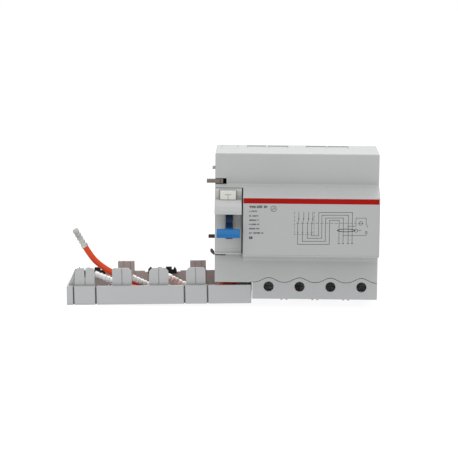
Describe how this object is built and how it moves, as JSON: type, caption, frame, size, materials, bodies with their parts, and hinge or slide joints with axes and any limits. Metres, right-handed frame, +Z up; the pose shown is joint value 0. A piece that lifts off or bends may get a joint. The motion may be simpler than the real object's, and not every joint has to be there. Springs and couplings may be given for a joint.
{
  "type": "residual current device",
  "caption": "Modular residual current add-on block for a rail: grey stepped housing, toggle, test button, box terminals and a coupling arm with fitted leads.",
  "frame": {"origin": "centre of the seat on the 35 mm rail: mid-width of the housing, on the seat plane, at the height of the rail centreline", "axes": "+X to the right seen from the front, +Y from the front towards the rail, +Z up"},
  "size_m": [0.2226, 0.0827, 0.1109],
  "materials": {
    "housing_grey": "fine moulded satin plastic",
    "label_grey": "satin film",
    "stripe_red": "satin film",
    "toggle_blue": "satin plastic",
    "button_white": "satin plastic",
    "steel": "turned steel",
    "screw_dark": "blackened zinc",
    "zinc": "zinc plated",
    "copper": "copper",
    "core_grey": "coated core",
    "inner_plastic": "moulded plastic",
    "slider_brown": "glass-filled plastic",
    "black_plastic": "moulded plastic",
    "board_green": "solder mask",
    "lead_orange": "extruded PVC",
    "ferrule_metal": "tinned, crimped"
  },
  "bodies": {
    "housing": {"arm_insert_1": "housing_grey", "arm_insert_4": "housing_grey", "arm_tray": "housing_grey", "board_components": "black_plastic", "busbars": "copper", "case_screws": "steel", "circuit_board": "board_green", "ferrule_1": "ferrule_metal", "ferrule_2": "ferrule_metal", "ferrule_3": "ferrule_metal", "ferrule_4": "ferrule_metal", "frame_spacers": "steel", "front_cover": "housing_grey", "label_plate": "label_grey", "label_stripe": "stripe_red", "lead_1": "lead_orange", "lead_2": "lead_orange", "lead_3": "lead_orange", "lead_4": "lead_orange", "lead_guide": "inner_plastic", "locating_peg": "housing_grey", "mechanism_plate_left": "zinc", "mechanism_plate_right": "zinc", "rail_clip_spring": "zinc", "rear_base": "housing_grey", "rear_clips": "black_plastic", "relay_case": "inner_plastic", "relay_coil": "copper", "terminal_cover": "housing_grey", "test_button_spring": "zinc", "test_contact_blade": "copper", "test_resistor": "inner_plastic", "toggle_bezel": "housing_grey", "toggle_shaft": "steel", "toggle_spring": "zinc", "transformer_core": "core_grey", "transformer_holder": "inner_plastic", "transformer_winding": "copper", "trip_lever_shaft": "steel", "trip_spring": "zinc"},
    "toggle_body": {"toggle": "toggle_blue"},
    "test_button_body": {"test_button": "button_white"},
    "trip_lever_body": {"trip_lever": "slider_brown", "coupling_pin": "slider_brown"},
    "relay_plunger_body": {"relay_plunger": "steel"},
    "upper_slider_body": {"upper_lock_slider": "slider_brown"},
    "lower_slider_body": {"lower_lock_slider": "slider_brown"},
    "rail_clip_body": {"rail_clip": "black_plastic"},
    "terminal_screw_1_body": {"terminal_screw_1": "screw_dark"},
    "terminal_cage_1_body": {"terminal_cage_1": "zinc"},
    "terminal_screw_2_body": {"terminal_screw_2": "screw_dark"},
    "terminal_cage_2_body": {"terminal_cage_2": "zinc"},
    "terminal_screw_3_body": {"terminal_screw_3": "screw_dark"},
    "terminal_cage_3_body": {"terminal_cage_3": "zinc"},
    "terminal_screw_4_body": {"terminal_screw_4": "screw_dark"},
    "terminal_cage_4_body": {"terminal_cage_4": "zinc"}
  },
  "joints": [
    {"name": "toggle_swing", "type": "hinge", "parent": "housing", "child": "toggle_body", "pos_m": [-0.0479, -0.0525, 0.001], "axis": [-1, 0, 0], "range_deg": [-35, 30]},
    {"name": "test_button_push", "type": "slide", "parent": "housing", "child": "test_button_body", "axis": [0, 1, 0], "range_m": [0, 0.0022], "stiffness_N_per_m": 350, "springref_m": -0.0015, "deforming": ["test_button_spring"]},
    {"name": "trip_lever_swing", "type": "hinge", "parent": "housing", "child": "trip_lever_body", "pos_m": [-0.049, -0.036, -0.026], "axis": [-1, 0, 0], "range_deg": [0, 20], "stiffness_Nm_per_rad": 0.02, "springref_deg": -8.59},
    {"name": "relay_plunger_slide", "type": "slide", "parent": "housing", "child": "relay_plunger_body", "axis": [0, -1, 0], "range_m": [0, 0.00258]},
    {"name": "upper_slider_slide", "type": "slide", "parent": "housing", "child": "upper_slider_body", "axis": [1, 0, 0], "range_m": [0, 0.0021]},
    {"name": "lower_slider_slide", "type": "slide", "parent": "housing", "child": "lower_slider_body", "axis": [1, 0, 0], "range_m": [0, 0.0021]},
    {"name": "rail_clip_slide", "type": "slide", "parent": "housing", "child": "rail_clip_body", "axis": [0, 0, -1], "range_m": [0, 0.0035], "stiffness_N_per_m": 1200, "springref_m": -0.002, "deforming": ["rail_clip_spring"]},
    {"name": "terminal_screw_1_turn", "type": "hinge", "parent": "housing", "child": "terminal_screw_1_body", "pos_m": [-0.0195, -0.0456, -0.04615], "axis": [0, -1, 0], "range_deg": [0, 1440]},
    {"name": "terminal_cage_1_slide", "type": "slide", "parent": "housing", "child": "terminal_cage_1_body", "axis": [0, -1, 0], "range_m": [0, 0.0032]},
    {"name": "terminal_screw_2_turn", "type": "hinge", "parent": "housing", "child": "terminal_screw_2_body", "pos_m": [0.00263, -0.0456, -0.04615], "axis": [0, -1, 0], "range_deg": [0, 1440]},
    {"name": "terminal_cage_2_slide", "type": "slide", "parent": "housing", "child": "terminal_cage_2_body", "axis": [0, -1, 0], "range_m": [0, 0.0032]},
    {"name": "terminal_screw_3_turn", "type": "hinge", "parent": "housing", "child": "terminal_screw_3_body", "pos_m": [0.02476, -0.0456, -0.04615], "axis": [0, -1, 0], "range_deg": [0, 1440]},
    {"name": "terminal_cage_3_slide", "type": "slide", "parent": "housing", "child": "terminal_cage_3_body", "axis": [0, -1, 0], "range_m": [0, 0.0032]},
    {"name": "terminal_screw_4_turn", "type": "hinge", "parent": "housing", "child": "terminal_screw_4_body", "pos_m": [0.04689, -0.0456, -0.04615], "axis": [0, -1, 0], "range_deg": [0, 1440]},
    {"name": "terminal_cage_4_slide", "type": "slide", "parent": "housing", "child": "terminal_cage_4_body", "axis": [0, -1, 0], "range_m": [0, 0.0032]}
  ],
  "couplings": [
    {"joint": "trip_lever_swing", "follows": "relay_plunger_slide", "rad_per_m": 135},
    {"joint": "terminal_screw_1_turn", "follows": "terminal_cage_1_slide", "rad_per_m": 7853.9},
    {"joint": "terminal_screw_2_turn", "follows": "terminal_cage_2_slide", "rad_per_m": 7853.9},
    {"joint": "terminal_screw_3_turn", "follows": "terminal_cage_3_slide", "rad_per_m": 7853.9},
    {"joint": "terminal_screw_4_turn", "follows": "terminal_cage_4_slide", "rad_per_m": 7853.9}
  ]
}
